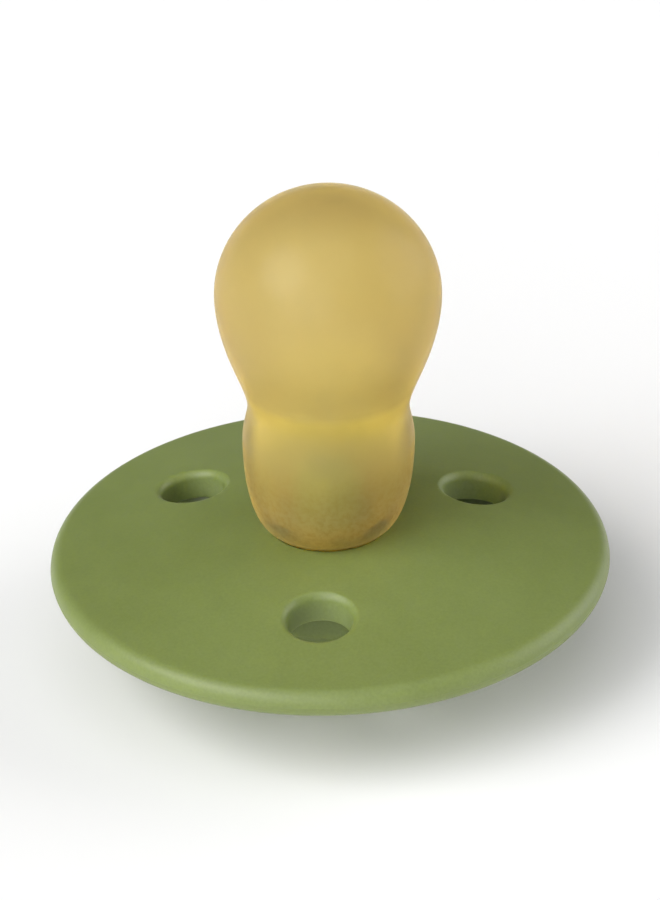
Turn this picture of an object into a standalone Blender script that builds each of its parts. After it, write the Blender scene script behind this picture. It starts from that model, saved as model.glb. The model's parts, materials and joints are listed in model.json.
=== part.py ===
"""A round-teat pacifier, standing on the flat face of its knob with the teat up.

Five pieces: a latex teat, a domed shield, a plug that pins the teat's flange in the shield, a knob cap
that closes the plug, and a ring handle whose straight bar turns between plug and cap.
The frame is +Z up. The origin is the centre of the knob's flat face. Sizes are in metres.
"""

from math import asin, atan, atan2, cos, degrees, hypot, pi, radians, sin, sqrt

import bmesh
import bpy
from mathutils import Matrix, Vector

MM = 0.001

# Shield: a shallow dome, nearly flat in the middle, with a full round rim.
SHIELD_RADIUS = 22.0 * MM
SHIELD_THICKNESS = 2.4 * MM
RIM_HEIGHT = 8.3 * MM  # of the middle of the round rim
DOME_SLOPE = 0.165  # of the outer part
DOME_BEND_RADIUS = 13.0 * MM  # the slope grows up to here and then stays
DOME_BEND_POWER = 1.6
TEAT_HOLE_RADIUS = 4.45 * MM
TEAT_HOLE_ROUNDING = 0.5 * MM
VENT_COUNT = 3
VENT_RADIUS = 2.5 * MM
VENT_ROUNDING = 0.5 * MM
VENT_BACK_ROUNDING = 0.15 * MM
VENT_CIRCLE_RADIUS = 13.0 * MM
COLLAR_OUTER_RADIUS = 8.6 * MM
COLLAR_INNER_RADIUS = 7.15 * MM
COLLAR_LOW = 6.0 * MM

# Teat: heights are above the middle of the rim, which the outline was worked out from.
BULB_RADIUS = 8.7 * MM
BULB_HEIGHT = RIM_HEIGHT + 23.25 * MM
TIP_HEIGHT = RIM_HEIGHT + 31.7 * MM
WAIST_RADIUS = 6.27 * MM
WAIST_HEIGHT = RIM_HEIGHT + 13.7 * MM
WAIST_BEND = 0.32 / MM  # second derivative of the radius by the height
NECK_RADIUS = 6.7 * MM
NECK_HEIGHT = RIM_HEIGHT + 10.6 * MM
ROOT_RADIUS = 4.25 * MM
ROOT_HEIGHT = RIM_HEIGHT + 3.25 * MM
TEAT_WALL = 1.35 * MM
FLANGE_RADIUS = 6.9 * MM
FLANGE_TOP = 9.4 * MM
FLANGE_LOW = 8.1 * MM

# Ring handle: an arc closed by a straight bar, which is the pivot.
PIVOT_HEIGHT = 4.0 * MM
BAR_RADIUS = 1.6 * MM
BAR_HALF_LENGTH = 9.3 * MM
RING_RADIUS = 14.5 * MM  # of the arc's middle line
RING_HALF_WIDTH = 1.9 * MM
RING_HALF_DEPTH = 1.65 * MM
RING_CORNER_RADIUS = 2.4 * MM
BAR_PLAY = 0.1 * MM
FLOOR_PLAY = 0.05 * MM  # the ring's lowest point stays this far above the knob's face

# Plug and knob cap.
SPIGOT_RADIUS = 2.6 * MM
SPIGOT_TOP = 16.7 * MM
SPIGOT_ROUNDING = 1.3 * MM
AIR_VENT_RADIUS = 0.6 * MM
PLUG_FLANGE_RADIUS = 7.0 * MM
PLUG_FLANGE_TOP = 8.0 * MM
PLUG_FLANGE_LOW = 6.7 * MM
PLUG_BODY_RADIUS = 6.45 * MM
KNOB_RADIUS = 8.0 * MM
KNOB_ROUNDING = 1.1 * MM
KNOB_TOP = 5.85 * MM
KNOB_INNER_RADIUS = 6.6 * MM
FACE_GROOVE_RADIUS = 5.4 * MM
FACE_GROOVE_DEPTH = 0.3 * MM
PARTING_GAP = 0.1 * MM
SNAP_BEAD = 0.25 * MM  # how far a snap bead stands out

FINE_STEPS = 60
ROUND_STEPS = 40

GREEN = (0.235, 0.305, 0.098)
LATEX = (0.60, 0.42, 0.13)


def clear_scene():
    for old in list(bpy.data.objects):
        bpy.data.objects.remove(old)


def material(name, colour, roughness):
    made = bpy.data.materials.new(name)
    made.use_nodes = True
    shader = made.node_tree.nodes["Principled BSDF"]
    shader.inputs["Base Color"].default_value = (*colour, 1)
    shader.inputs["Roughness"].default_value = roughness
    shader.inputs["Metallic"].default_value = 0
    return made


def arc(centre_r, centre_z, radius, start, end, steps):
    """Points (r, z) of an arc from start to end, in degrees, both ends included."""
    turns = [radians(start + (end - start) * i / steps) for i in range(steps + 1)]
    return [(centre_r + radius * cos(t), centre_z + radius * sin(t)) for t in turns]


def object_from(name, mesh_maker, finish):
    mesh = bpy.data.meshes.new(name)
    bm = bmesh.new()
    mesh_maker(bm)
    bmesh.ops.recalc_face_normals(bm, faces=bm.faces)
    bm.to_mesh(mesh)
    bm.free()
    mesh.shade_smooth()
    mesh.set_sharp_from_angle(angle=radians(35))
    made = bpy.data.objects.new(name, mesh)
    bpy.context.collection.objects.link(made)
    if finish:
        mesh.materials.append(finish)
    return made


def turned(name, outline, steps, finish=None, closed=True):
    """A solid turned about Z from points (r, z). An outline that isn't closed starts and ends on the axis."""

    def make(bm):
        points = [bm.verts.new((r, 0, z)) for r, z in outline]
        ends = zip(points, points[1:] + points[:1]) if closed else zip(points, points[1:])
        edges = [bm.edges.new(pair) for pair in ends]
        bmesh.ops.spin(
            bm, geom=points + edges, cent=(0, 0, 0), axis=(0, 0, 1), angle=2 * pi, steps=steps
        )
        bmesh.ops.remove_doubles(bm, verts=bm.verts, dist=1e-7)

    return object_from(name, make, finish)


def cutter(made):
    made.hide_render = True
    made.display_type = "WIRE"
    return made


def cut(body, tool, operation="DIFFERENCE"):
    change = body.modifiers.new(tool.name, "BOOLEAN")
    change.operation = operation
    change.solver = "EXACT"
    change.object = tool


def dome_slope(r):
    return DOME_SLOPE * min(r / DOME_BEND_RADIUS, 1) ** DOME_BEND_POWER


def dome_drop(r):
    """How far the dome's middle layer falls from the axis out to distance r."""
    bend = min(r, DOME_BEND_RADIUS)
    power = DOME_BEND_POWER + 1
    fall = DOME_SLOPE * DOME_BEND_RADIUS / power * (bend / DOME_BEND_RADIUS) ** power
    return fall + DOME_SLOPE * (r - bend)


def dome_point(r, side):
    """A point (r, z) of the dome: side is 1 on top, -1 underneath and 0 in the middle layer."""
    half = side * SHIELD_THICKNESS / 2
    slope = dome_slope(r)
    middle = RIM_HEIGHT + dome_drop(SHIELD_RADIUS - SHIELD_THICKNESS / 2) - dome_drop(r)
    return r + half * sin(atan(slope)), middle + half * cos(atan(slope))


def dome_line(start, end, side, steps):
    """Points (r, z) on the dome from r start to r end."""
    radii = [start + (end - start) * i / steps for i in range(steps + 1)]
    return [dome_point(r, side) for r in radii]


def shield(finish):
    half = SHIELD_THICKNESS / 2
    rim_middle = SHIELD_RADIUS - half
    rim_lean = degrees(atan(DOME_SLOPE))
    lip_r, lip_z = dome_point(TEAT_HOLE_RADIUS + TEAT_HOLE_ROUNDING, 1)
    ceiling = FLANGE_TOP + PARTING_GAP
    bead_height = (PLUG_FLANGE_TOP + PLUG_FLANGE_LOW) / 2
    groove = COLLAR_INNER_RADIUS + SNAP_BEAD
    root_r, root_z = dome_point(COLLAR_OUTER_RADIUS + 0.6 * MM, -1)
    outline = arc(lip_r, lip_z - TEAT_HOLE_ROUNDING, lip_r - TEAT_HOLE_RADIUS, 180, 90, 4)[:-1]
    outline += dome_line(TEAT_HOLE_RADIUS + TEAT_HOLE_ROUNDING, rim_middle, 1, 10)
    outline += arc(rim_middle, RIM_HEIGHT, half, 90 - rim_lean, -90 - rim_lean, 8)[1:]
    outline += dome_line(rim_middle, COLLAR_OUTER_RADIUS + 0.6 * MM, -1, 8)[1:]
    outline += [
        (COLLAR_OUTER_RADIUS + 0.17 * MM, root_z - 0.14 * MM),
        (COLLAR_OUTER_RADIUS, root_z - 0.5 * MM),
        (COLLAR_OUTER_RADIUS, COLLAR_LOW + 0.3 * MM),
        (COLLAR_OUTER_RADIUS - 0.3 * MM, COLLAR_LOW),
        (COLLAR_INNER_RADIUS, COLLAR_LOW),
        (COLLAR_INNER_RADIUS, bead_height - SNAP_BEAD),
        (groove, bead_height),
        (COLLAR_INNER_RADIUS, bead_height + SNAP_BEAD),
        (COLLAR_INNER_RADIUS, ceiling),
        (TEAT_HOLE_RADIUS, ceiling),
    ]
    made = turned("shield", outline, FINE_STEPS, finish)
    for number in range(VENT_COUNT):
        cut(made, vent_cutter(number))
    return made


def vent_cutter(number):
    """An upright bore, flared at both mouths along the dome's slope so that the vent's edges are round."""
    half = SHIELD_THICKNESS / 2 * hypot(1, DOME_SLOPE)
    top_mouth = VENT_RADIUS + VENT_ROUNDING
    low_mouth = VENT_RADIUS + VENT_BACK_ROUNDING
    outline = [(0, -half - 1.5 * MM), (low_mouth, -half - 1.5 * MM)]
    outline += arc(low_mouth, -half + VENT_BACK_ROUNDING, VENT_BACK_ROUNDING, 270, 180, 2)
    outline += arc(top_mouth, half - VENT_ROUNDING, VENT_ROUNDING, 180, 90, 4)
    outline += [(top_mouth, half + 1.5 * MM), (0, half + 1.5 * MM)]
    made = cutter(turned(f"vent_cutter_{number}", outline, 32, closed=False))
    middle_r, middle_z = dome_point(VENT_CIRCLE_RADIUS, 0)
    turn = Matrix.Rotation(-pi / 2 + number * 2 * pi / VENT_COUNT, 4, "Z")
    out = Matrix.Translation((middle_r, 0, middle_z))
    lean = Matrix.Identity(4)
    lean[2][0] = -DOME_SLOPE
    made.data.transform(turn @ out @ lean)
    return made


def smooth_step(share, start, start_bend, end, end_bend, span):
    """A curve that is level at both ends, with the second derivatives given there."""
    t = share
    value = start + (end - start) * (10 * t**3 - 15 * t**4 + 6 * t**5)
    value += start_bend * span**2 * (0.5 * t**2 - 1.5 * t**3 + 1.5 * t**4 - 0.5 * t**5)
    return value + end_bend * span**2 * (0.5 * t**3 - t**4 + 0.5 * t**5)


def teat_line():
    """The teat's outer line from tip to shield: a cap, the bulb's underside, the waist and the neck."""
    cap = TIP_HEIGHT - BULB_HEIGHT
    under_neck = NECK_HEIGHT - ROOT_HEIGHT
    swell = NECK_RADIUS - ROOT_RADIUS
    bulb_bend = -BULB_RADIUS / cap**2
    neck_bend = -swell / under_neck**2
    line = []
    for i in range(11):
        t = pi / 2 * i / 10
        line.append((BULB_RADIUS * sin(t), BULB_HEIGHT + cap * cos(t)))
    line[0] = (0, TIP_HEIGHT)
    span = WAIST_HEIGHT - BULB_HEIGHT
    for i in range(1, 10):
        radius = smooth_step(i / 9, BULB_RADIUS, bulb_bend, WAIST_RADIUS, WAIST_BEND, span)
        line.append((radius, BULB_HEIGHT + span * i / 9))
    span = NECK_HEIGHT - WAIST_HEIGHT
    for i in range(1, 5):
        radius = smooth_step(i / 4, WAIST_RADIUS, WAIST_BEND, NECK_RADIUS, neck_bend, span)
        line.append((radius, WAIST_HEIGHT + span * i / 4))
    for i in range(1, 9):
        t = pi / 2 * i / 8
        line.append((ROOT_RADIUS + swell * cos(t), NECK_HEIGHT - under_neck * sin(t)))
    return line


def inset_line(line, depth):
    """The line moved inwards by depth, square to itself."""
    moved = []
    for i, (r, z) in enumerate(line):
        before = line[max(i - 1, 0)]
        after = line[min(i + 1, len(line) - 1)]
        along_r, along_z = after[0] - before[0], after[1] - before[1]
        length = hypot(along_r, along_z)
        moved.append((r + depth * along_z / length, z - depth * along_r / length))
    return moved


def teat(finish):
    """A hollow latex shell. Its root runs down through the shield and turns out into a flat flange."""
    outer = teat_line()
    bore = SPIGOT_RADIUS + PARTING_GAP
    inset = inset_line(outer, TEAT_WALL)
    inner = [p for p in inset if p[0] > bore + 0.3 * MM and p[1] > ROOT_HEIGHT + 1.2 * MM]
    cavity_top = (0, TIP_HEIGHT - TEAT_WALL)
    outline = outer + [
        (ROOT_RADIUS, FLANGE_TOP + 0.3 * MM),
        (ROOT_RADIUS + 0.3 * MM, FLANGE_TOP),
        (FLANGE_RADIUS - 0.3 * MM, FLANGE_TOP),
        (FLANGE_RADIUS, FLANGE_TOP - 0.3 * MM),
        (FLANGE_RADIUS, FLANGE_LOW + 0.3 * MM),
        (FLANGE_RADIUS - 0.3 * MM, FLANGE_LOW),
        (bore, FLANGE_LOW),
        (bore, ROOT_HEIGHT + 0.2 * MM),
    ]
    outline += inner[::-2] + [cavity_top]
    return turned("teat", outline, ROUND_STEPS, finish, closed=False)


def bar_channel(name, radius, top):
    """A channel along X for the ring's bar: round below, with straight sides up to top."""

    def make(bm):
        half = KNOB_RADIUS + 2 * MM
        section = arc(0, PIVOT_HEIGHT, radius, 180, 360, 12)
        section += [(radius, top), (-radius, top)]
        face = bm.faces.new([bm.verts.new((-half, y, z)) for y, z in section])
        pushed = bmesh.ops.extrude_face_region(bm, geom=[face])
        sides = [v for v in pushed["geom"] if isinstance(v, bmesh.types.BMVert)]
        bmesh.ops.translate(bm, verts=sides, vec=(2 * half, 0, 0))

    return cutter(object_from(name, make, None))


def bar_bore(name, radius):
    """A round bore along X for the ring's bar."""

    def make(bm):
        turn = Matrix.Translation((0, 0, PIVOT_HEIGHT)) @ Matrix.Rotation(pi / 2, 4, "Y")
        bmesh.ops.create_cone(
            bm,
            cap_ends=True,
            segments=24,
            radius1=radius,
            radius2=radius,
            depth=2 * (KNOB_RADIUS + 2 * MM),
            matrix=turn,
        )

    return cutter(object_from(name, make, None))


def plug(finish):
    """The spigot, clamping flange and body that hold the teat, with the upper half of the bar's bearing."""
    half_flange = (PLUG_FLANGE_TOP - PLUG_FLANGE_LOW) / 2
    bead_height = PLUG_FLANGE_LOW + half_flange
    low = PIVOT_HEIGHT + PARTING_GAP / 2
    snap = low + 1.0 * MM
    outline = [
        (AIR_VENT_RADIUS, low),
        (PLUG_BODY_RADIUS - 0.3 * MM, low),
        (PLUG_BODY_RADIUS, low + 0.3 * MM),
        (PLUG_BODY_RADIUS, snap - SNAP_BEAD),
        (PLUG_BODY_RADIUS + SNAP_BEAD, snap),
        (PLUG_BODY_RADIUS, snap + SNAP_BEAD),
        (PLUG_BODY_RADIUS, PLUG_FLANGE_LOW),
        (PLUG_FLANGE_RADIUS, PLUG_FLANGE_LOW),
        (PLUG_FLANGE_RADIUS, bead_height - SNAP_BEAD),
        (PLUG_FLANGE_RADIUS + SNAP_BEAD, bead_height),
        (PLUG_FLANGE_RADIUS, bead_height + SNAP_BEAD),
        (PLUG_FLANGE_RADIUS, PLUG_FLANGE_TOP),
        (SPIGOT_RADIUS, PLUG_FLANGE_TOP),
    ]
    rounding_r = SPIGOT_RADIUS - SPIGOT_ROUNDING
    outline += arc(rounding_r, SPIGOT_TOP - SPIGOT_ROUNDING, SPIGOT_ROUNDING, 0, 90, 5)
    outline += [(AIR_VENT_RADIUS, SPIGOT_TOP)]
    made = turned("plug", outline, ROUND_STEPS, finish)
    cut(made, bar_bore("plug_bar_cutter", BAR_RADIUS + BAR_PLAY))
    return made


def knob_cap(finish):
    """A shallow cup with a flat face. Its floor carries the lower half of the bar's bearing."""
    floor = PIVOT_HEIGHT - PARTING_GAP / 2
    snap = PIVOT_HEIGHT + PARTING_GAP / 2 + 1.0 * MM
    groove_in = FACE_GROOVE_RADIUS
    groove_out = FACE_GROOVE_RADIUS + 2 * FACE_GROOVE_DEPTH
    outline = [(0, 0), (groove_in, 0)]
    outline += [((groove_in + groove_out) / 2, FACE_GROOVE_DEPTH), (groove_out, 0)]
    outline += arc(KNOB_RADIUS - KNOB_ROUNDING, KNOB_ROUNDING, KNOB_ROUNDING, -90, 0, 5)
    outline += [
        (KNOB_RADIUS, KNOB_TOP - 0.3 * MM),
        (KNOB_RADIUS - 0.3 * MM, KNOB_TOP),
        (KNOB_INNER_RADIUS, KNOB_TOP),
        (KNOB_INNER_RADIUS, snap + SNAP_BEAD),
        (KNOB_INNER_RADIUS + SNAP_BEAD, snap),
        (KNOB_INNER_RADIUS, snap - SNAP_BEAD),
        (KNOB_INNER_RADIUS, floor),
        (0, floor),
    ]
    made = turned("knob_cap", outline, FINE_STEPS, finish, closed=False)
    cut(made, bar_channel("cap_bar_cutter", BAR_RADIUS + BAR_PLAY, KNOB_TOP + 1 * MM))
    return made


def ring_path():
    """The ring's middle line in its own plane, from the bar: points (x, y, share of the arc's section)."""
    centre_y = sqrt(RING_RADIUS**2 - BAR_HALF_LENGTH**2)
    corner_turn = atan2(BAR_HALF_LENGTH, centre_y)
    trim = RING_CORNER_RADIUS * (corner_turn / 2)
    first = -pi / 2 + corner_turn + trim / RING_RADIUS
    last = 3 * pi / 2 - corner_turn - trim / RING_RADIUS
    bar_end = BAR_HALF_LENGTH - trim
    path = [(-bar_end + 2 * bar_end * i / 4, 0, 0) for i in range(5)]
    arc_points = []
    for i in range(41):
        t = first + (last - first) * i / 40
        arc_points.append((RING_RADIUS * cos(t), centre_y + RING_RADIUS * sin(t), 1))
    corner = []
    for i in range(1, 4):
        t = i / 4
        start, middle, end = (bar_end, 0), (BAR_HALF_LENGTH, 0), arc_points[0]
        x = (1 - t) ** 2 * start[0] + 2 * t * (1 - t) * middle[0] + t**2 * end[0]
        y = (1 - t) ** 2 * start[1] + 2 * t * (1 - t) * middle[1] + t**2 * end[1]
        corner.append((x, y, t))
    other_corner = [(-x, y, t) for x, y, t in corner[::-1]]
    return path + corner + arc_points + other_corner


def ring_rest_tilt():
    """How far the ring drops from level before its far end reaches the height of the knob's face."""
    reach = sqrt(RING_RADIUS**2 - BAR_HALF_LENGTH**2) + RING_RADIUS
    return asin((PIVOT_HEIGHT - RING_HALF_DEPTH - FLOOR_PLAY) / reach)


def ring_handle(finish):
    """The handle, lying back towards +Y with its origin on the bar's axis."""
    path = ring_path()
    sides = 16

    def make(bm):
        rings = []
        for i, (x, y, share) in enumerate(path):
            before, after = Vector(path[i - 1][:2]), Vector(path[(i + 1) % len(path)][:2])
            along = (after - before).normalized()
            across = Vector((along.y, -along.x))
            width = BAR_RADIUS + share * (RING_HALF_WIDTH - BAR_RADIUS)
            depth = BAR_RADIUS + share * (RING_HALF_DEPTH - BAR_RADIUS)
            ring = []
            for k in range(sides):
                t = 2 * pi * k / sides
                side = across * width * cos(t)
                ring.append(bm.verts.new((x + side.x, y + side.y, depth * sin(t))))
            rings.append(ring)
        for i, ring in enumerate(rings):
            following = rings[(i + 1) % len(rings)]
            for k in range(sides):
                m = (k + 1) % sides
                bm.faces.new((ring[k], ring[m], following[m], following[k]))

    made = object_from("ring_handle", make, finish)
    made.location = (0, 0, PIVOT_HEIGHT)
    made.rotation_euler = (-ring_rest_tilt(), 0, 0)
    return made


def main():
    clear_scene()
    green = material("green_plastic", GREEN, 0.45)
    latex = material("latex", LATEX, 0.3)
    shield(green)
    teat(latex)
    plug(green)
    knob_cap(green)
    ring_handle(green)
    bpy.context.view_layer.update()
    print("ring rest tilt", round(degrees(ring_rest_tilt()), 3))


main()
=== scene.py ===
"""The looks of the round-teat pacifier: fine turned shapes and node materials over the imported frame.

The frame stands the pacifier on its knob's flat face, teat up, with the ring lying back towards +Y.
"""

import json
from math import asin, atan, atan2, cos, degrees, exp, hypot, pi, radians, sin, sqrt, tan

import bmesh
import bpy
from mathutils import Matrix, Vector


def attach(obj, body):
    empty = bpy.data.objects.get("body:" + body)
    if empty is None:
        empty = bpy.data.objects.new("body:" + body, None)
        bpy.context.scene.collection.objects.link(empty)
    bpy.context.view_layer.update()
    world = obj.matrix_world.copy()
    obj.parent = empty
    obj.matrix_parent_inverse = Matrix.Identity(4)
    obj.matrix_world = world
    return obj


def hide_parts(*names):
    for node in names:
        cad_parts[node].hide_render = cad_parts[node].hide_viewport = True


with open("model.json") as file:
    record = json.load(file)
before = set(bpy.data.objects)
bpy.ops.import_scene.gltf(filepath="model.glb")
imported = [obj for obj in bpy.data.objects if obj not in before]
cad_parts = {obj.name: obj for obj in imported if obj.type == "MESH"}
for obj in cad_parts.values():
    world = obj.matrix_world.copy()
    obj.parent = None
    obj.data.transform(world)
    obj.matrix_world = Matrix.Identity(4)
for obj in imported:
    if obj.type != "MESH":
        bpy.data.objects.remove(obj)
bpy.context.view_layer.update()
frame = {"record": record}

MM = 0.001

# Edge roundings that repeat, from the crispest to the roundest
CRISP_EDGE = 0.05 * MM
FINE_EDGE = 0.1 * MM
SOFT_EDGE = 0.2 * MM
ROUND_EDGE = 0.3 * MM

# Shield
SHIELD_RADIUS = 22.0 * MM
SHIELD_THICKNESS = 2.4 * MM
RIM_HEIGHT = 8.3 * MM
DOME_SLOPE = 0.165
DOME_BEND_RADIUS = 13.0 * MM
DOME_BEND_POWER = 1.6
TEAT_HOLE_RADIUS = 4.45 * MM
TEAT_HOLE_ROUNDING = 0.5 * MM
PARTING_LINE = 0.02 * MM  # the mould's line around the rim
VENT_COUNT = 3
VENT_RADIUS = 2.5 * MM
VENT_ROUNDING = 0.75 * MM
VENT_BACK_ROUNDING = 0.15 * MM
VENT_CIRCLE_RADIUS = 13.0 * MM
COLLAR_OUTER_RADIUS = 8.6 * MM
COLLAR_INNER_RADIUS = 7.15 * MM
COLLAR_LOW = 6.0 * MM
COLLAR_FILLET = 0.5 * MM
COLLAR_FILLET_ROOM = 0.7 * MM  # the dome's underside ends this far outside the collar
COLLAR_FILLET_RISE = 0.03 * MM

# Teat
BULB_RADIUS = 8.7 * MM
BULB_HEIGHT = RIM_HEIGHT + 23.25 * MM
TIP_HEIGHT = RIM_HEIGHT + 31.7 * MM
TIP_DIMPLE_RADIUS = 1.1 * MM  # the faint mark that the mould leaves at the tip
TIP_DIMPLE_DEPTH = 0.12 * MM
WAIST_RADIUS = 6.27 * MM
WAIST_HEIGHT = RIM_HEIGHT + 13.7 * MM
WAIST_BEND = 0.32 / MM
NECK_RADIUS = 6.7 * MM
NECK_HEIGHT = RIM_HEIGHT + 10.6 * MM
ROOT_RADIUS = 4.25 * MM
NECK_FULLNESS = 0.88  # of the neck's underside: 1 is an ellipse, and less is fuller
ROOT_HEIGHT = RIM_HEIGHT + 3.25 * MM
TEAT_WALL = 1.35 * MM
PAINTED_WAIST_SHADE_TOP = RIM_HEIGHT + 16.15 * MM  # painted shade at the waist: the bulb is painted darker from here up and lets less light through, the neck below is lighter and clearer
PAINTED_WAIST_SHADE_BOTTOM = RIM_HEIGHT + 15.3 * MM
FLANGE_RADIUS = 6.9 * MM
FLANGE_TOP = 9.4 * MM
FLANGE_LOW = 8.1 * MM
ROOT_OVERLAP = 0.1 * MM  # the root starts this far below the neck's underside
SLEEVE_TOP = ROOT_HEIGHT + 0.2 * MM  # of the sleeve of latex around the spigot
HOLLOW_LOW = ROOT_HEIGHT + 1.2 * MM  # the hollow widens to the wall's inside from here up
HOLLOW_LEDGE = 0.3 * MM
TEAT_LEAN = radians(1.3)  # the soft teat doesn't stand quite square to its shield
TEAT_LEAN_TOWARDS = radians(4.1)

# Ring handle
PIVOT_HEIGHT = frame["record"]["behaviour"]["joints"][0]["pos_m"][2]  # of ring_hinge
BAR_RADIUS = 1.6 * MM
BAR_HALF_LENGTH = 9.3 * MM
RING_RADIUS = 14.5 * MM
RING_HALF_WIDTH = 1.9 * MM
RING_HALF_DEPTH = 1.65 * MM
RING_CORNER_RADIUS = 2.4 * MM
BAR_PLAY = 0.1 * MM
FLOOR_PLAY = 0.05 * MM

# Plug and knob cap
SPIGOT_RADIUS = 2.6 * MM
SPIGOT_TOP = 16.7 * MM
SPIGOT_ROUNDING = 1.3 * MM
AIR_VENT_RADIUS = 0.6 * MM
PLUG_FLANGE_RADIUS = 7.0 * MM
PLUG_FLANGE_TOP = 8.0 * MM
PLUG_FLANGE_LOW = 6.7 * MM
PLUG_BODY_RADIUS = 6.45 * MM
KNOB_RADIUS = 8.0 * MM
KNOB_ROUNDING = 1.1 * MM
KNOB_TOP = 5.97 * MM
KNOB_INNER_RADIUS = 6.6 * MM
FACE_GROOVE_RADIUS = 5.4 * MM
FACE_GROOVE_DEPTH = 0.3 * MM
FACE_GROOVE_ROUNDING = 0.12 * MM  # of the groove's floor
FACE_GROOVE_LEAD = 0.5 * MM  # the flat face has a ring of points this far inside the groove
PARTING_GAP = 0.1 * MM

# How far the cutting tools reach past what they cut
VENT_CUTTER_REACH = 1.5 * MM
BAR_CUTTER_REACH = 2 * MM
BAR_CUTTER_RISE = 1 * MM

# Fineness: steps around each turned piece, and steps along the drawn lines
SHIELD_TURN_STEPS = 256
TEAT_TURN_STEPS = 192
KNOB_CAP_TURN_STEPS = 192
PLUG_TURN_STEPS = 128
VENT_TURN_STEPS = 96
DOME_TOP_STEPS = 40
DOME_LOW_STEPS = 30
BULB_CAP_STEPS = 40
BULB_STEPS = 36
WAIST_STEPS = 16
NECK_STEPS = 32
BAR_CUTTER_STEPS = 64
RING_BAR_STEPS = 16
RING_ARC_STEPS = 140
RING_CORNER_STEPS = 12
RING_SIDES = 40

# Colours. A pair is mixed by noise.
PLASTIC_DARK = ((0.158, 0.200, 0.054), (0.182, 0.230, 0.066))
PLASTIC_PALE = ((0.170, 0.214, 0.060), (0.194, 0.244, 0.072))
# The bulb's amber is painted darker than the neck's: painted shade above the waist.
BULB_COLOURS_WITH_PAINTED_SHADE = ((0.74, 0.65, 0.34), (0.78, 0.69, 0.37))
NECK_COLOURS = ((0.95, 0.86, 0.44), (0.98, 0.89, 0.47))
ROOT_COLOUR = (0.92, 0.72, 0.12)
SPECKLE_COLOUR = (0.72, 0.56, 0.14)
NOISE_LOW, NOISE_HIGH = 0.3, 0.7  # what Blender's noise mostly keeps within

# How the latex changes: the light that goes through, and heights above the root
BULB_CLEARNESS = 0.80
NECK_CLEARNESS = 0.89
ROOT_CLEARNESS_CHANGE = -0.12
ROOT_CLEARNESS_END = 4.5 * MM
ROOT_COLOUR_END = 3.5 * MM
ROOT_MARKS = 0.8  # the strength of the powdery bumps and of the speckles
ROOT_MARKS_FADE = 2 * MM
POWDER_END = 7 * MM
SPECKLE_END = 8 * MM

# Camera. It looks a little above the middle of the rim, which leaves room for the teat in the frame.
CAMERA_AZIMUTH = radians(4.1)
CAMERA_ELEVATION = radians(31.2)
CAMERA_DISTANCE = 0.35
CAMERA_ROLL = radians(1.74)
CAMERA_LENS = 177.6
CAMERA_AIM_UP = radians(1.36)

# Light: the room's own, the pale band that fades out this many degrees above the horizon, and four broad
# lamps as (azimuth, elevation, half width in degrees, strength): key, front fill, right side and top
ROOM_LIGHT = 0.07
HORIZON_BAND = 8
HORIZON_LIGHT = 0.75
LAMPS = ((-60, 40, 22, 5), (-20, 20, 28, 2.5), (105, 15, 30, 2.5), (0, 70, 25, 1))
LAMP_EDGE, LAMP_CORE = 1.3, 0.7  # where a lamp's glow begins and is full, in half widths

# Floor
FLOOR_SIZE = 6
FLOOR_DROP = 0.02 * MM  # keeps the floor clear of the knob's flat face


# ---------------------------------------------------------------- shapes


def arc(centre_r, centre_z, radius, start, end, steps):
    """Points (r, z) of an arc from start to end, in degrees, both ends included."""
    turns = [radians(start + (end - start) * i / steps) for i in range(steps + 1)]
    return [(centre_r + radius * cos(t), centre_z + radius * sin(t)) for t in turns]


def rounded(corners, steps=6):
    """An outline through corners (r, z, fillet radius), with each fillet drawn as an arc."""
    line = []
    for i, (r, z, fillet) in enumerate(corners):
        here = Vector((r, z))
        if not fillet or i in (0, len(corners) - 1):
            line.append((r, z))
            continue
        back = (Vector(corners[i - 1][:2]) - here).normalized()
        ahead = (Vector(corners[i + 1][:2]) - here).normalized()
        half_angle = back.angle(ahead) / 2
        middle = here + (back + ahead).normalized() * fillet / sin(half_angle)
        start = here + back * fillet / tan(half_angle) - middle
        end = here + ahead * fillet / tan(half_angle) - middle
        for k in range(steps + 1):
            point = start.slerp(end, k / steps).normalized() * fillet + middle
            line.append((point.x, point.y))
    return line


def object_from(name, mesh_maker, sharp=40):
    """An object whose mesh is made by mesh_maker, smooth apart from edges sharper than sharp, in degrees."""
    mesh = bpy.data.meshes.new(name)
    bm = bmesh.new()
    mesh_maker(bm)
    bmesh.ops.recalc_face_normals(bm, faces=bm.faces)
    bm.to_mesh(mesh)
    bm.free()
    mesh.shade_smooth()
    mesh.set_sharp_from_angle(angle=radians(sharp))
    made = bpy.data.objects.new(name, mesh)
    bpy.context.collection.objects.link(made)
    return made


def turned(name, outline, steps, closed=False):
    """A solid turned about Z from points (r, z). An outline that isn't closed starts and ends on the axis."""

    def make(bm):
        points = [bm.verts.new((r, 0, z)) for r, z in outline]
        ends = zip(points, points[1:] + points[:1]) if closed else zip(points, points[1:])
        edges = [bm.edges.new(pair) for pair in ends]
        bmesh.ops.spin(
            bm, geom=points + edges, cent=(0, 0, 0), axis=(0, 0, 1), angle=2 * pi, steps=steps
        )
        bmesh.ops.remove_doubles(bm, verts=bm.verts, dist=1e-7)

    return object_from(name, make)


def cut(body, tool):
    """Take tool out of body for good."""
    change = body.modifiers.new("cut", "BOOLEAN")
    change.operation = "DIFFERENCE"
    change.solver = "EXACT"
    change.object = tool
    bpy.context.view_layer.update()
    seen = body.evaluated_get(bpy.context.evaluated_depsgraph_get())
    mesh = bpy.data.meshes.new_from_object(seen)
    body.modifiers.clear()
    body.data = mesh
    bpy.data.objects.remove(tool)


def dome_slope(r):
    return DOME_SLOPE * min(r / DOME_BEND_RADIUS, 1) ** DOME_BEND_POWER


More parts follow.
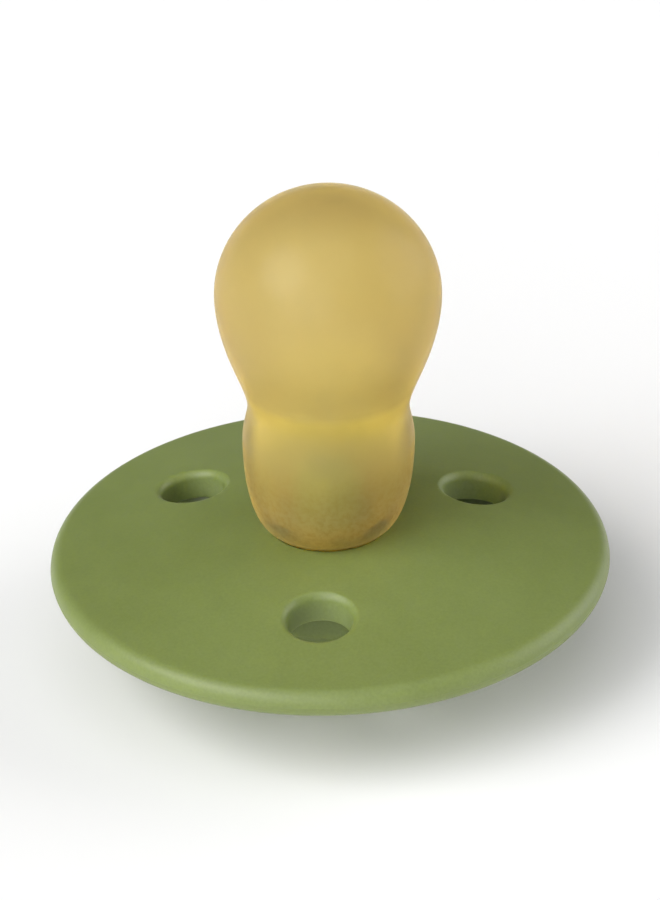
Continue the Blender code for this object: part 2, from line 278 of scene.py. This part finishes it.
def dome_drop(r):
    """How far the dome's middle layer falls from the axis out to distance r."""
    bend = min(r, DOME_BEND_RADIUS)
    power = DOME_BEND_POWER + 1
    fall = DOME_SLOPE * DOME_BEND_RADIUS / power * (bend / DOME_BEND_RADIUS) ** power
    return fall + DOME_SLOPE * (r - bend)


def dome_point(r, side):
    """A point (r, z) of the dome: side is 1 on top, -1 underneath and 0 in the middle layer."""
    half = side * SHIELD_THICKNESS / 2
    slope = dome_slope(r)
    middle = RIM_HEIGHT + dome_drop(SHIELD_RADIUS - SHIELD_THICKNESS / 2) - dome_drop(r)
    return r + half * sin(atan(slope)), middle + half * cos(atan(slope))


def dome_line(start, end, side, steps):
    radii = [start + (end - start) * i / steps for i in range(steps + 1)]
    return [dome_point(r, side) for r in radii]


def rim_line():
    """The rim's round edge, with its points crowded around the line that the mould leaves."""
    half = SHIELD_THICKNESS / 2
    lean = degrees(atan(DOME_SLOPE))
    stretches = (  # start and end in degrees, steps, and how far the stretch stands out
        (90 - lean, 6, 16, 0),
        (3.5, 0.5, 2, 0),
        (-1, -3, 1, PARTING_LINE),
        (-4.5, -7, 1, 0),
        (-12, -90 - lean, 14, 0),
    )
    line = []
    for start, end, steps, proud in stretches:
        line += arc(SHIELD_RADIUS - half, RIM_HEIGHT, half + proud, start, end, steps)
    return line


def make_shield():
    rim_middle = SHIELD_RADIUS - SHIELD_THICKNESS / 2
    hole_edge = TEAT_HOLE_RADIUS + TEAT_HOLE_ROUNDING
    lip_r, lip_z = dome_point(hole_edge, 1)
    ceiling = FLANGE_TOP + PARTING_GAP
    collar_start = COLLAR_OUTER_RADIUS + COLLAR_FILLET_ROOM
    root_r, root_z = dome_point(collar_start, -1)
    outline = arc(lip_r, lip_z - TEAT_HOLE_ROUNDING, lip_r - TEAT_HOLE_RADIUS, 180, 90, 8)[:-1]
    outline += dome_line(hole_edge, rim_middle, 1, DOME_TOP_STEPS)
    outline += rim_line()[1:]
    outline += dome_line(rim_middle, collar_start, -1, DOME_LOW_STEPS)[1:]
    outline += rounded(
        [
            (root_r, root_z, 0),
            (COLLAR_OUTER_RADIUS, root_z + COLLAR_FILLET_RISE, COLLAR_FILLET),
            (COLLAR_OUTER_RADIUS, COLLAR_LOW, CRISP_EDGE),
            (COLLAR_INNER_RADIUS, COLLAR_LOW, CRISP_EDGE),
            (COLLAR_INNER_RADIUS, ceiling, 0),
            (TEAT_HOLE_RADIUS, ceiling, 0),
        ]
    )[1:]
    shield = turned("shield_shape", outline, SHIELD_TURN_STEPS, closed=True)
    for number in range(VENT_COUNT):
        cut(shield, vent_cutter(number))
    return shield


def vent_cutter(number):
    """An upright bore, flared at both mouths along the dome's slope so that the vent's edges are round."""
    half = SHIELD_THICKNESS / 2 * hypot(1, DOME_SLOPE)
    top_mouth = VENT_RADIUS + VENT_ROUNDING
    low_mouth = VENT_RADIUS + VENT_BACK_ROUNDING
    outline = [(0, -half - VENT_CUTTER_REACH), (low_mouth, -half - VENT_CUTTER_REACH)]
    outline += arc(low_mouth, -half + VENT_BACK_ROUNDING, VENT_BACK_ROUNDING, 270, 180, 4)
    outline += arc(top_mouth, half - VENT_ROUNDING, VENT_ROUNDING, 180, 90, 12)
    outline += [(top_mouth, half + VENT_CUTTER_REACH), (0, half + VENT_CUTTER_REACH)]
    tool = turned(f"vent_cutter_{number}", outline, VENT_TURN_STEPS)
    middle_r, middle_z = dome_point(VENT_CIRCLE_RADIUS, 0)
    turn = Matrix.Rotation(-pi / 2 + number * 2 * pi / VENT_COUNT, 4, "Z")
    out = Matrix.Translation((middle_r, 0, middle_z))
    lean = Matrix.Identity(4)
    lean[2][0] = -DOME_SLOPE
    tool.data.transform(turn @ out @ lean)
    return tool


def smooth_step(t, start, start_bend, end, end_bend, span):
    """A curve over t from 0 to 1, which stands for a length of span.

    It is level at both ends, with the second derivatives given there.
    """
    value = start + (end - start) * (10 * t**3 - 15 * t**4 + 6 * t**5)
    value += start_bend * span**2 * (0.5 * t**2 - 1.5 * t**3 + 1.5 * t**4 - 0.5 * t**5)
    return value + end_bend * span**2 * (0.5 * t**3 - t**4 + 0.5 * t**5)


def teat_line():
    """The teat's outer line from the tip to the shield."""
    cap = TIP_HEIGHT - BULB_HEIGHT
    under_neck = NECK_HEIGHT - ROOT_HEIGHT
    swell = NECK_RADIUS - ROOT_RADIUS
    bulb_bend = -BULB_RADIUS / cap**2
    neck_bend = -swell / under_neck**2
    line = []
    for i in range(BULB_CAP_STEPS + 1):
        t = pi / 2 * i / BULB_CAP_STEPS
        radius = BULB_RADIUS * sin(t)
        dimple = TIP_DIMPLE_DEPTH * exp(-((radius / TIP_DIMPLE_RADIUS) ** 4))
        line.append((radius, BULB_HEIGHT + cap * cos(t) - dimple))
    line[0] = (0, line[0][1])
    span = WAIST_HEIGHT - BULB_HEIGHT
    for i in range(1, BULB_STEPS + 1):
        radius = smooth_step(i / BULB_STEPS, BULB_RADIUS, bulb_bend, WAIST_RADIUS, WAIST_BEND, span)
        line.append((radius, BULB_HEIGHT + span * i / BULB_STEPS))
    span = NECK_HEIGHT - WAIST_HEIGHT
    for i in range(1, WAIST_STEPS + 1):
        radius = smooth_step(i / WAIST_STEPS, WAIST_RADIUS, WAIST_BEND, NECK_RADIUS, neck_bend, span)
        line.append((radius, WAIST_HEIGHT + span * i / WAIST_STEPS))
    for i in range(1, NECK_STEPS + 1):
        t = pi / 2 * i / NECK_STEPS
        radius = ROOT_RADIUS + swell * max(cos(t), 0) ** NECK_FULLNESS
        line.append((radius, NECK_HEIGHT - under_neck * sin(t)))
    return line


def inset_line(line, depth):
    """The line moved inwards by depth, square to itself."""
    moved = []
    for i, (r, z) in enumerate(line):
        before = line[max(i - 1, 0)]
        after = line[min(i + 1, len(line) - 1)]
        along_r, along_z = after[0] - before[0], after[1] - before[1]
        length = hypot(along_r, along_z)
        moved.append((r + depth * along_z / length, z - depth * along_r / length))
    return moved


def make_teat():
    outer = teat_line()
    bore = SPIGOT_RADIUS + PARTING_GAP
    inset = inset_line(outer, TEAT_WALL)
    inner = [(r, z) for r, z in inset if r > bore + HOLLOW_LEDGE and z > HOLLOW_LOW]
    outline = outer + rounded(
        [
            (ROOT_RADIUS, ROOT_HEIGHT - ROOT_OVERLAP, 0),
            (ROOT_RADIUS, FLANGE_TOP, ROUND_EDGE),
            (FLANGE_RADIUS, FLANGE_TOP, ROUND_EDGE),
            (FLANGE_RADIUS, FLANGE_LOW, ROUND_EDGE),
            (bore, FLANGE_LOW, 0),
            (bore, SLEEVE_TOP, 0),
        ],
        steps=4,
    )
    outline += inner[::-1] + [(0, inner[0][1])]
    teat = turned("teat_shape", outline, TEAT_TURN_STEPS)
    lean_teat(teat)
    return teat


def lean_teat(teat):
    """Tip the teat over a little. The tipping sets in along the neck, so that the root stays level."""
    towards = Vector((cos(TEAT_LEAN_TOWARDS), sin(TEAT_LEAN_TOWARDS), 0))
    for vertex in teat.data.vertices:
        above = max(vertex.co.z - ROOT_HEIGHT, 0)
        share = min(above / (WAIST_HEIGHT - ROOT_HEIGHT), 1)
        drop = TEAT_LEAN * share * vertex.co.dot(towards)
        vertex.co += towards * TEAT_LEAN * above
        vertex.co.z -= drop


def bar_cutter(name, top=None):
    """A tool along X for the ring's bar: round, or round below with straight sides up to top."""
    radius = BAR_RADIUS + BAR_PLAY

    def make(bm):
        half = KNOB_RADIUS + BAR_CUTTER_REACH
        if top is None:
            section = arc(0, PIVOT_HEIGHT, radius, 0, 360, BAR_CUTTER_STEPS)[:-1]
        else:
            section = arc(0, PIVOT_HEIGHT, radius, 180, 360, BAR_CUTTER_STEPS // 2)
            section += [(radius, top), (-radius, top)]
        face = bm.faces.new([bm.verts.new((-half, y, z)) for y, z in section])
        pushed = bmesh.ops.extrude_face_region(bm, geom=[face])
        sides = [v for v in pushed["geom"] if isinstance(v, bmesh.types.BMVert)]
        bmesh.ops.translate(bm, verts=sides, vec=(2 * half, 0, 0))

    return object_from(name, make)


def make_plug():
    low = PIVOT_HEIGHT + PARTING_GAP / 2
    outline = rounded(
        [
            (AIR_VENT_RADIUS, low, 0),
            (PLUG_BODY_RADIUS, low, ROUND_EDGE),
            (PLUG_BODY_RADIUS, PLUG_FLANGE_LOW, 0),
            (PLUG_FLANGE_RADIUS, PLUG_FLANGE_LOW, FINE_EDGE),
            (PLUG_FLANGE_RADIUS, PLUG_FLANGE_TOP, SOFT_EDGE),
            (SPIGOT_RADIUS, PLUG_FLANGE_TOP, 0),
            (SPIGOT_RADIUS, SPIGOT_TOP, SPIGOT_ROUNDING),
            (AIR_VENT_RADIUS, SPIGOT_TOP, SOFT_EDGE),
            (AIR_VENT_RADIUS, low, 0),
        ],
        steps=8,
    )[:-1]
    plug = turned("plug_shape", outline, PLUG_TURN_STEPS, closed=True)
    cut(plug, bar_cutter("plug_bar_cutter"))
    return plug


def make_knob_cap():
    floor = PIVOT_HEIGHT - PARTING_GAP / 2
    groove_out = FACE_GROOVE_RADIUS + 2 * FACE_GROOVE_DEPTH
    outline = [(0, 0)] + rounded(
        [
            (FACE_GROOVE_RADIUS - FACE_GROOVE_LEAD, 0, 0),
            (FACE_GROOVE_RADIUS, 0, FINE_EDGE),
            ((FACE_GROOVE_RADIUS + groove_out) / 2, FACE_GROOVE_DEPTH, FACE_GROOVE_ROUNDING),
            (groove_out, 0, FINE_EDGE),
            (KNOB_RADIUS, 0, KNOB_ROUNDING),
            (KNOB_RADIUS, KNOB_TOP, CRISP_EDGE),
            (KNOB_INNER_RADIUS, KNOB_TOP, CRISP_EDGE),
            (KNOB_INNER_RADIUS, floor, 0),
            (0, floor, 0),
        ],
        steps=8,
    )
    cap = turned("knob_cap_shape", outline, KNOB_CAP_TURN_STEPS)
    cut(cap, bar_cutter("cap_bar_cutter", top=KNOB_TOP + BAR_CUTTER_RISE))
    return cap


def ring_path():
    """The ring's middle line in its own plane, as points (x, y, share of the arc's section)."""
    centre_y = sqrt(RING_RADIUS**2 - BAR_HALF_LENGTH**2)
    corner_turn = atan2(BAR_HALF_LENGTH, centre_y)
    trim = RING_CORNER_RADIUS * (corner_turn / 2)
    first = -pi / 2 + corner_turn + trim / RING_RADIUS
    last = 3 * pi / 2 - corner_turn - trim / RING_RADIUS
    bar_end = BAR_HALF_LENGTH - trim
    path = [(-bar_end + 2 * bar_end * i / RING_BAR_STEPS, 0, 0) for i in range(RING_BAR_STEPS + 1)]
    arc_points = []
    for i in range(RING_ARC_STEPS + 1):
        t = first + (last - first) * i / RING_ARC_STEPS
        arc_points.append((RING_RADIUS * cos(t), centre_y + RING_RADIUS * sin(t), 1))
    corner = []
    start, middle, end = (bar_end, 0), (BAR_HALF_LENGTH, 0), arc_points[0]
    for i in range(1, RING_CORNER_STEPS):
        t = i / RING_CORNER_STEPS
        x = (1 - t) ** 2 * start[0] + 2 * t * (1 - t) * middle[0] + t**2 * end[0]
        y = (1 - t) ** 2 * start[1] + 2 * t * (1 - t) * middle[1] + t**2 * end[1]
        corner.append((x, y, t * t * (3 - 2 * t)))
    other_corner = [(-x, y, t) for x, y, t in corner[::-1]]
    return path + corner + arc_points + other_corner


def ring_rest_tilt():
    """How far the ring drops below level before its far end all but touches the floor."""
    reach = sqrt(RING_RADIUS**2 - BAR_HALF_LENGTH**2) + RING_RADIUS
    return asin((PIVOT_HEIGHT - RING_HALF_DEPTH - FLOOR_PLAY) / reach)


def make_ring():
    path = ring_path()
    place = Matrix.Translation((0, 0, PIVOT_HEIGHT)) @ Matrix.Rotation(-ring_rest_tilt(), 4, "X")

    def make(bm):
        rings = []
        for i, (x, y, share) in enumerate(path):
            before, after = Vector(path[i - 1][:2]), Vector(path[(i + 1) % len(path)][:2])
            along = (after - before).normalized()
            across = Vector((along.y, -along.x))
            width = BAR_RADIUS + share * (RING_HALF_WIDTH - BAR_RADIUS)
            depth = BAR_RADIUS + share * (RING_HALF_DEPTH - BAR_RADIUS)
            ring = []
            for k in range(RING_SIDES):
                t = 2 * pi * k / RING_SIDES
                side = across * width * cos(t)
                ring.append(bm.verts.new(place @ Vector((x + side.x, y + side.y, depth * sin(t)))))
            rings.append(ring)
        for i, ring in enumerate(rings):
            following = rings[(i + 1) % len(rings)]
            for k in range(RING_SIDES):
                m = (k + 1) % RING_SIDES
                bm.faces.new((ring[k], ring[m], following[m], following[k]))

    return object_from("ring_shape", make)


# ---------------------------------------------------------------- materials


class Nodes:
    """A small helper for building one node material."""

    def __init__(self, name):
        self.material = bpy.data.materials.new(name)
        self.material.use_nodes = True
        self.tree = self.material.node_tree
        self.shader = self.tree.nodes["Principled BSDF"]

    def add(self, kind, **values):
        node = self.tree.nodes.new(kind)
        for key, value in values.items():
            if key in node.inputs:
                node.inputs[key].default_value = value
            else:
                setattr(node, key, value)
        return node

    def link(self, start, end):
        self.tree.links.new(start, end)

    def set(self, **values):
        """Set the shader's inputs by name, with _ for a space."""
        for key, value in values.items():
            self.shader.inputs[key.replace("_", " ")].default_value = value

    def feed(self, name, output):
        self.link(output, self.shader.inputs[name])

    def noise(self, place, scale, detail=3.0, roughness=0.55):
        node = self.add("ShaderNodeTexNoise")
        node.inputs["Scale"].default_value = scale
        node.inputs["Detail"].default_value = detail
        node.inputs["Roughness"].default_value = roughness
        self.link(place, node.inputs["Vector"])
        return node.outputs["Fac"]

    def ranged(self, value, low, high, to_low, to_high):
        node = self.add("ShaderNodeMapRange")
        for key, number in (("From Min", low), ("From Max", high), ("To Min", to_low), ("To Max", to_high)):
            node.inputs[key].default_value = number
        self.link(value, node.inputs["Value"])
        return node.outputs["Result"]

    def mixed(self, share, first, second):
        node = self.add("ShaderNodeMix", data_type="RGBA")
        a, b = [s for s in node.inputs if s.type == "RGBA"]
        for socket, colour in ((a, first), (b, second)):
            if isinstance(colour, tuple):
                socket.default_value = (*colour, 1)
            else:
                self.link(colour, socket)
        self.link(share, node.inputs[0])
        return next(s for s in node.outputs if s.type == "RGBA")

    def mottled(self, noise, colours):
        """A pair of colours mixed by noise."""
        return self.mixed(self.ranged(noise, NOISE_LOW, NOISE_HIGH, 0, 1), *colours)

    def joined(self, operation, first, second):
        node = self.add("ShaderNodeMath", operation=operation)
        self.link(first, node.inputs[0])
        self.link(second, node.inputs[1])
        return node.outputs[0]

    def height(self, place):
        split = self.add("ShaderNodeSeparateXYZ")
        self.link(place, split.inputs[0])
        return split.outputs["Z"]

    def bump(self, height, distance, strength=None):
        """A bumpy normal of full strength, or of the strength that another node gives."""
        node = self.add("ShaderNodeBump", Distance=distance, Strength=1.0)
        self.link(height, node.inputs["Height"])
        if strength:
            self.link(strength, node.inputs["Strength"])
        return node.outputs["Normal"]


def plastic_material():
    """Satin sage green, a little see-through at thin edges, with the fine grain of a spark-eroded mould."""
    made = Nodes("sage_green_plastic")
    place = made.add("ShaderNodeTexCoord").outputs["Object"]
    cloud = made.noise(place, scale=260, detail=2)
    grain = made.noise(place, scale=4300, detail=2, roughness=0.6)
    cloud_share = made.ranged(cloud, NOISE_LOW, NOISE_HIGH, 0, 1)
    dark, pale = made.mottled(grain, PLASTIC_DARK), made.mottled(grain, PLASTIC_PALE)
    made.feed("Base Color", made.mixed(cloud_share, dark, pale))
    made.feed("Roughness", made.ranged(grain, NOISE_LOW, NOISE_HIGH, 0.38, 0.50))
    made.feed("Normal", made.bump(grain, 0.008 * MM))
    made.set(Subsurface_Weight=0.45, Subsurface_Radius=(1.0, 1.0, 0.15), Subsurface_Scale=1.5 * MM)
    made.set(IOR=1.49)
    return made.material


def latex_material():
    """Amber latex: part of the light scatters at its surface and the rest goes through, blurred."""
    made = Nodes("amber_latex")
    place = made.add("ShaderNodeTexCoord").outputs["Object"]
    height = made.height(place)
    made.feed("Base Color", latex_colour(made, place, height))
    made.feed("Transmission Weight", latex_clearness(made, height))
    powder = made.noise(place, scale=6000, detail=2, roughness=0.6)
    made.feed("Normal", made.bump(powder, 0.02 * MM, root_marks(made, height, POWDER_END)))
    made.set(Roughness=0.5, IOR=1.13)
    made.set(Sheen_Weight=0.35, Sheen_Roughness=0.4, Sheen_Tint=(1, 0.78, 0.3, 1))
    made.set(Coat_Weight=0.25, Coat_Roughness=0.22, Coat_IOR=1.45)
    amber = made.add("ShaderNodeVolumeAbsorption", Density=260.0, Color=(0.90, 0.78, 0.02, 1))
    made.link(amber.outputs["Volume"], made.tree.nodes["Material Output"].inputs["Volume"])
    return made.material


def latex_colour(made, place, height):
    """Painted shade: a darker colour in the bulb than in the neck, and a warm root whose speckles fade out
    upwards.
    """
    cloud = made.noise(place, scale=180, detail=3)
    bulb, neck = made.mottled(cloud, BULB_COLOURS_WITH_PAINTED_SHADE), made.mottled(cloud, NECK_COLOURS)
    # painted shade: above the waist's step the bulb takes the darker colours
    colour = made.mixed(made.ranged(height, PAINTED_WAIST_SHADE_BOTTOM, PAINTED_WAIST_SHADE_TOP, 0, 1), neck, bulb)
    root = made.ranged(height, ROOT_HEIGHT, ROOT_HEIGHT + ROOT_COLOUR_END, 1, 0)
    warm = made.mixed(root, colour, ROOT_COLOUR)
    spots = made.ranged(made.noise(place, scale=2400, detail=3, roughness=0.6), 0.4, 0.7, 0, 1)
    speckle = made.joined("MULTIPLY", spots, root_marks(made, height, SPECKLE_END))
    return made.mixed(speckle, warm, SPECKLE_COLOUR)


def root_marks(made, height, end):
    """The strength of the marks near the root, which fade to none at end above it."""
    return made.ranged(height, ROOT_HEIGHT + ROOT_MARKS_FADE, ROOT_HEIGHT + end, ROOT_MARKS, 0)


def latex_clearness(made, height):
    """The share of light that goes through: less in the bulb than in the neck, and less near the root."""
    wall = made.ranged(height, PAINTED_WAIST_SHADE_BOTTOM, PAINTED_WAIST_SHADE_TOP, NECK_CLEARNESS, BULB_CLEARNESS)
    root_end = ROOT_HEIGHT + ROOT_CLEARNESS_END
    return made.joined("ADD", wall, made.ranged(height, ROOT_HEIGHT, root_end, ROOT_CLEARNESS_CHANGE, 0))


def floor_material():
    made = Nodes("pale_floor")
    made.set(Base_Color=(0.9, 0.9, 0.9, 1), Roughness=0.9, Specular_IOR_Level=0.1)
    return made.material


# ---------------------------------------------------------------- stage


def toward(azimuth, elevation):
    """The unit vector from the object to an eye or lamp at this azimuth and elevation, in degrees."""
    a, e = radians(azimuth), radians(elevation)
    return Vector((sin(a) * cos(e), -cos(a) * cos(e), sin(e)))


def make_camera():
    """A long lens from above the rim, turned about its own line of sight by the roll."""
    back = toward(degrees(CAMERA_AZIMUTH), degrees(CAMERA_ELEVATION))
    right = Vector((cos(CAMERA_AZIMUTH), sin(CAMERA_AZIMUTH), 0))
    up = back.cross(right)
    rolled_right = right * cos(CAMERA_ROLL) - up * sin(CAMERA_ROLL)
    rolled_up = up * cos(CAMERA_ROLL) + right * sin(CAMERA_ROLL)
    turn = Matrix((rolled_right, rolled_up, back)).transposed() @ Matrix.Rotation(CAMERA_AIM_UP, 3, "X")
    camera = bpy.data.objects.new("camera", bpy.data.cameras.new("camera"))
    bpy.context.collection.objects.link(camera)
    place = Vector((0, 0, RIM_HEIGHT)) + back * CAMERA_DISTANCE
    camera.matrix_world = Matrix.Translation(place) @ turn.to_4x4()
    camera.data.lens = CAMERA_LENS
    camera.data.sensor_width = 36
    camera.data.clip_start = 0.01
    camera.data.clip_end = 20
    bpy.context.scene.camera = camera


def make_world():
    """A dim room with a pale band at the horizon and broad soft lamps, all of them far away."""
    world = bpy.data.worlds.new("studio")
    bpy.context.scene.world = world
    world.use_nodes = True
    tree = world.node_tree
    way = tree.nodes.new("ShaderNodeTexCoord").outputs["Generated"]

    def glow(direction, edge, full, strength):
        """Light that grows from none to its strength as the cosine with direction goes from edge to full."""
        facing = tree.nodes.new("ShaderNodeVectorMath")
        facing.operation = "DOT_PRODUCT"
        facing.inputs[1].default_value = direction
        tree.links.new(way, facing.inputs[0])
        shade = tree.nodes.new("ShaderNodeMapRange")
        shade.interpolation_type = "SMOOTHSTEP"
        shade.inputs["From Min"].default_value = edge
        shade.inputs["From Max"].default_value = full
        shade.inputs["To Max"].default_value = strength
        tree.links.new(facing.outputs["Value"], shade.inputs["Value"])
        return shade.outputs["Result"]

    parts = [glow((0, 0, 1), sin(radians(HORIZON_BAND)), 0, HORIZON_LIGHT)]
    for azimuth, elevation, half_width, strength in LAMPS:
        edge, full = cos(radians(half_width * LAMP_EDGE)), cos(radians(half_width * LAMP_CORE))
        parts.append(glow(toward(azimuth, elevation), edge, full, strength))
    total = tree.nodes.new("ShaderNodeValue").outputs[0]
    total.default_value = ROOM_LIGHT
    for part in parts:
        add = tree.nodes.new("ShaderNodeMath")
        add.operation = "ADD"
        tree.links.new(total, add.inputs[0])
        tree.links.new(part, add.inputs[1])
        total = add.outputs[0]
    tree.links.new(total, tree.nodes["Background"].inputs["Strength"])
    tree.nodes["Background"].inputs["Color"].default_value = (1, 1, 1, 1)
    world.cycles.sampling_method = "MANUAL"
    world.cycles.sample_map_resolution = 512


def make_stage():
    bpy.ops.mesh.primitive_plane_add(size=FLOOR_SIZE, location=(0, 0, -FLOOR_DROP))
    floor = bpy.context.object
    floor.name = "floor"
    floor.data.materials.append(floor_material())
    make_world()
    scene = bpy.context.scene
    scene.view_settings.view_transform = "Standard"
    scene.view_settings.look = "None"
    scene.view_settings.exposure = 0
    scene.view_settings.gamma = 1


def dress(piece, finish, node, body):
    """Give a piece its finish, hang it on the body it rides on, and hide the CAD node that it stands for."""
    piece.data.materials.clear()
    piece.data.materials.append(finish)
    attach(piece, body)
    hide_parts(node)


make_camera()
make_stage()
plastic = plastic_material()
latex = latex_material()
dress(make_shield(), plastic, "shield", "pacifier")
dress(make_teat(), latex, "teat", "pacifier")
dress(make_plug(), plastic, "plug", "pacifier")
dress(make_knob_cap(), plastic, "knob_cap", "pacifier")
dress(make_ring(), plastic, "ring_handle", "ring")

bpy.context.view_layer.update()
